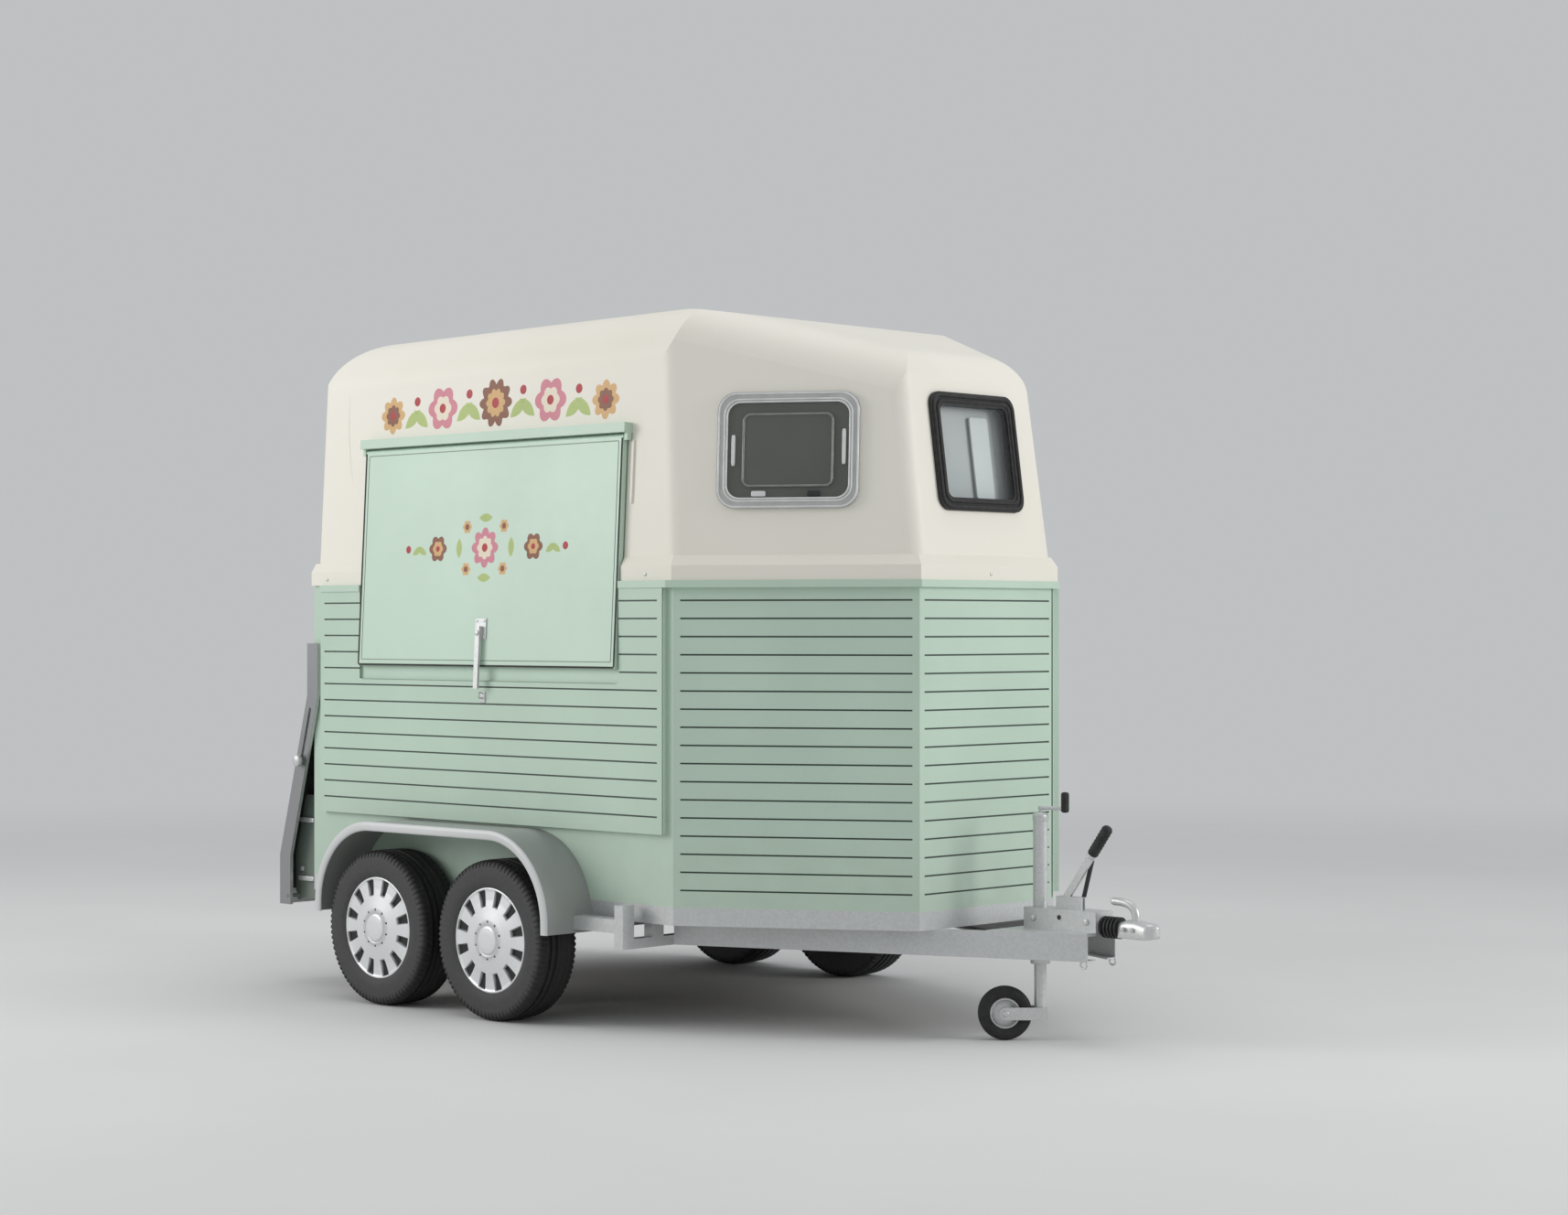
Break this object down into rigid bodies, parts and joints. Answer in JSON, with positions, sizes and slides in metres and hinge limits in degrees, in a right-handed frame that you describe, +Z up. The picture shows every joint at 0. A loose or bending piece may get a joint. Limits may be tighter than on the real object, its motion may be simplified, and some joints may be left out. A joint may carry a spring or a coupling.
{
  "type": "food trailer",
  "caption": "Small food trailer with planked walls, a moulded hood, a lifting side hatch, a rear ramp, paired road wheels and a drawbar with a jockey wheel.",
  "frame": {"origin": "centre of the whole outline on the ground", "axes": "+X forward to the coupling, +Y to the left, +Z up"},
  "size_m": [3.829, 2.13, 2.6337],
  "materials": {
    "mint_paint": "satin painted planks",
    "mint_trim": "satin painted trim",
    "mint_hatch": "smooth satin paint",
    "cream_shell": "cream gel coat",
    "galvanised_frame": "hot-dip galvanised",
    "galvanised_axle": "dull galvanised",
    "zinc_casting": "bright zinc",
    "black_steel": "black paint",
    "floor_board": "resin-faced board",
    "clear_frame": "pale translucent acrylic",
    "smoked_pane": "smoked acrylic",
    "clear_glass": "clear glass",
    "black_rubber": "black rubber",
    "tyre_rubber": "tyre rubber",
    "wheel_steel": "dark painted steel",
    "cover_silver": "silver lacquer",
    "grey_guard": "satin grey",
    "ramp_aluminium": "mill finish",
    "plate_green": "dark grey-green paint",
    "lamp_red": "red lens"
  },
  "bodies": {
    "trailer": {"chassis_frame": "galvanised_frame", "floor_deck": "floor_board", "drawbar_right": "galvanised_frame", "drawbar_left": "galvanised_frame", "outrigger_beam": "galvanised_frame", "axle_front": "galvanised_axle", "axle_rear": "galvanised_axle", "side_wall_right": "mint_paint", "side_wall_left": "mint_paint", "nose_wall_right": "mint_paint", "nose_wall_left": "mint_paint", "front_wall": "mint_paint", "rear_posts": "mint_paint", "rear_upper_panel": "cream_shell", "side_cladding_right": "mint_paint", "side_cladding_left": "mint_paint", "nose_cladding_left": "mint_paint", "waist_rail": "mint_trim", "upper_shell": "cream_shell", "hatch_frame": "mint_trim", "hatch_hinge_rail": "mint_trim", "nose_window_frames": "clear_frame", "nose_window_panes": "smoked_pane", "front_window_seal": "black_rubber", "front_window_glass": "clear_glass", "mudguard_right": "grey_guard", "mudguard_left": "grey_guard", "overrun_housing": "galvanised_frame", "coupling_bellows": "black_rubber", "coupling_head": "zinc_casting", "coupling_handle": "zinc_casting", "handbrake_lever": "zinc_casting", "handbrake_strut": "black_steel", "jockey_tube": "zinc_casting", "jockey_crank": "zinc_casting", "ramp_side_plates": "plate_green", "rear_lamps": "lamp_red"},
    "serving_hatch": {"hatch_panel": "mint_hatch", "hatch_latch": "zinc_casting"},
    "ramp": {"ramp_panel": "ramp_aluminium", "ramp_mat": "black_rubber", "ramp_channels": "ramp_aluminium"},
    "jockey_fork": {"jockey_leg": "zinc_casting"},
    "jockey_wheel": {"jockey_tyre": "tyre_rubber", "jockey_rim": "zinc_casting"},
    "wheel_front_left": {"tyre_front_left": "tyre_rubber", "rim_front_left": "wheel_steel", "wheel_cover_front_left": "cover_silver"},
    "wheel_front_right": {"tyre_front_right": "tyre_rubber", "rim_front_right": "wheel_steel", "wheel_cover_front_right": "cover_silver"},
    "wheel_rear_left": {"tyre_rear_left": "tyre_rubber", "rim_rear_left": "wheel_steel", "wheel_cover_rear_left": "cover_silver"},
    "wheel_rear_right": {"tyre_rear_right": "tyre_rubber", "rim_rear_right": "wheel_steel", "wheel_cover_rear_right": "cover_silver"}
  },
  "joints": [
    {"name": "hatch_lift", "type": "hinge", "parent": "trailer", "child": "serving_hatch", "pos_m": [-0.6235, -0.82479, 2.15527], "axis": [-1, 0, 0], "range_deg": [0, 90]},
    {"name": "ramp_drop", "type": "hinge", "parent": "trailer", "child": "ramp", "pos_m": [-1.8615, 0, 0.36], "axis": [0, -1, 0], "range_deg": [0, 115]},
    {"name": "jockey_swivel", "type": "hinge", "parent": "trailer", "child": "jockey_fork", "pos_m": [1.3965, 0, 0.285], "axis": [0, 0, 1], "continuous": true},
    {"name": "jockey_roll", "type": "hinge", "parent": "jockey_fork", "child": "jockey_wheel", "pos_m": [1.30586, -0.08753, 0.096], "axis": [0.6947, -0.7193, 0], "continuous": true},
    {"name": "wheel_front_left_roll", "type": "hinge", "parent": "trailer", "child": "wheel_front_left", "pos_m": [-0.3855, 0.9525, 0.3], "axis": [0, 1, 0], "continuous": true},
    {"name": "wheel_front_right_roll", "type": "hinge", "parent": "trailer", "child": "wheel_front_right", "pos_m": [-0.3855, -0.9525, 0.3], "axis": [0, 1, 0], "continuous": true},
    {"name": "wheel_rear_left_roll", "type": "hinge", "parent": "trailer", "child": "wheel_rear_left", "pos_m": [-1.0515, 0.9525, 0.3], "axis": [0, 1, 0], "continuous": true},
    {"name": "wheel_rear_right_roll", "type": "hinge", "parent": "trailer", "child": "wheel_rear_right", "pos_m": [-1.0515, -0.9525, 0.3], "axis": [0, 1, 0], "continuous": true}
  ]
}
